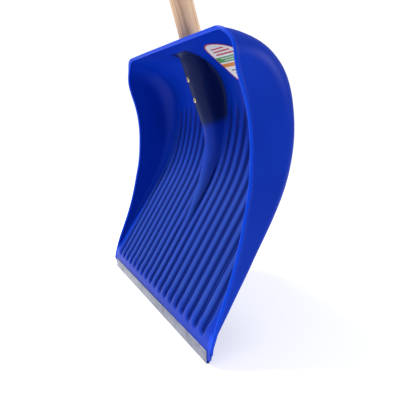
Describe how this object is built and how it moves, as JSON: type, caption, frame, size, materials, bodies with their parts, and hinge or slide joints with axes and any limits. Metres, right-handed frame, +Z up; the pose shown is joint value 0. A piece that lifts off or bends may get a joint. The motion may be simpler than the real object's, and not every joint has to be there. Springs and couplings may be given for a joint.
{
  "type": "snow shovel",
  "caption": "Wide ribbed plastic snow scoop with raised sides, a metal wear strip and a straight wooden pole held in a moulded socket.",
  "frame": {"origin": "middle of the wear strip's flat underside, where the shovel stands on the ground", "axes": "+X across the scoop, -Y towards the scoop's open side, +Z up with the scoop standing on its strip; the pole leans forward over the open side"},
  "size_m": [0.4484, 0.4118, 1.5478],
  "materials": {
    "blue_plastic": "smooth moulded polypropylene, satin gloss",
    "strip_metal": "mill finish sheet",
    "pole_wood": "bare sanded hardwood",
    "screw_steel": "yellow zinc plated",
    "label_paper": "printed film sticker, plain colour bars"
  },
  "bodies": {
    "root": {"blade": "blue_plastic", "wear_strip": "strip_metal", "pole": "pole_wood", "screw_upper": "screw_steel", "screw_lower": "screw_steel", "label": "label_paper"}
  },
  "joints": []
}
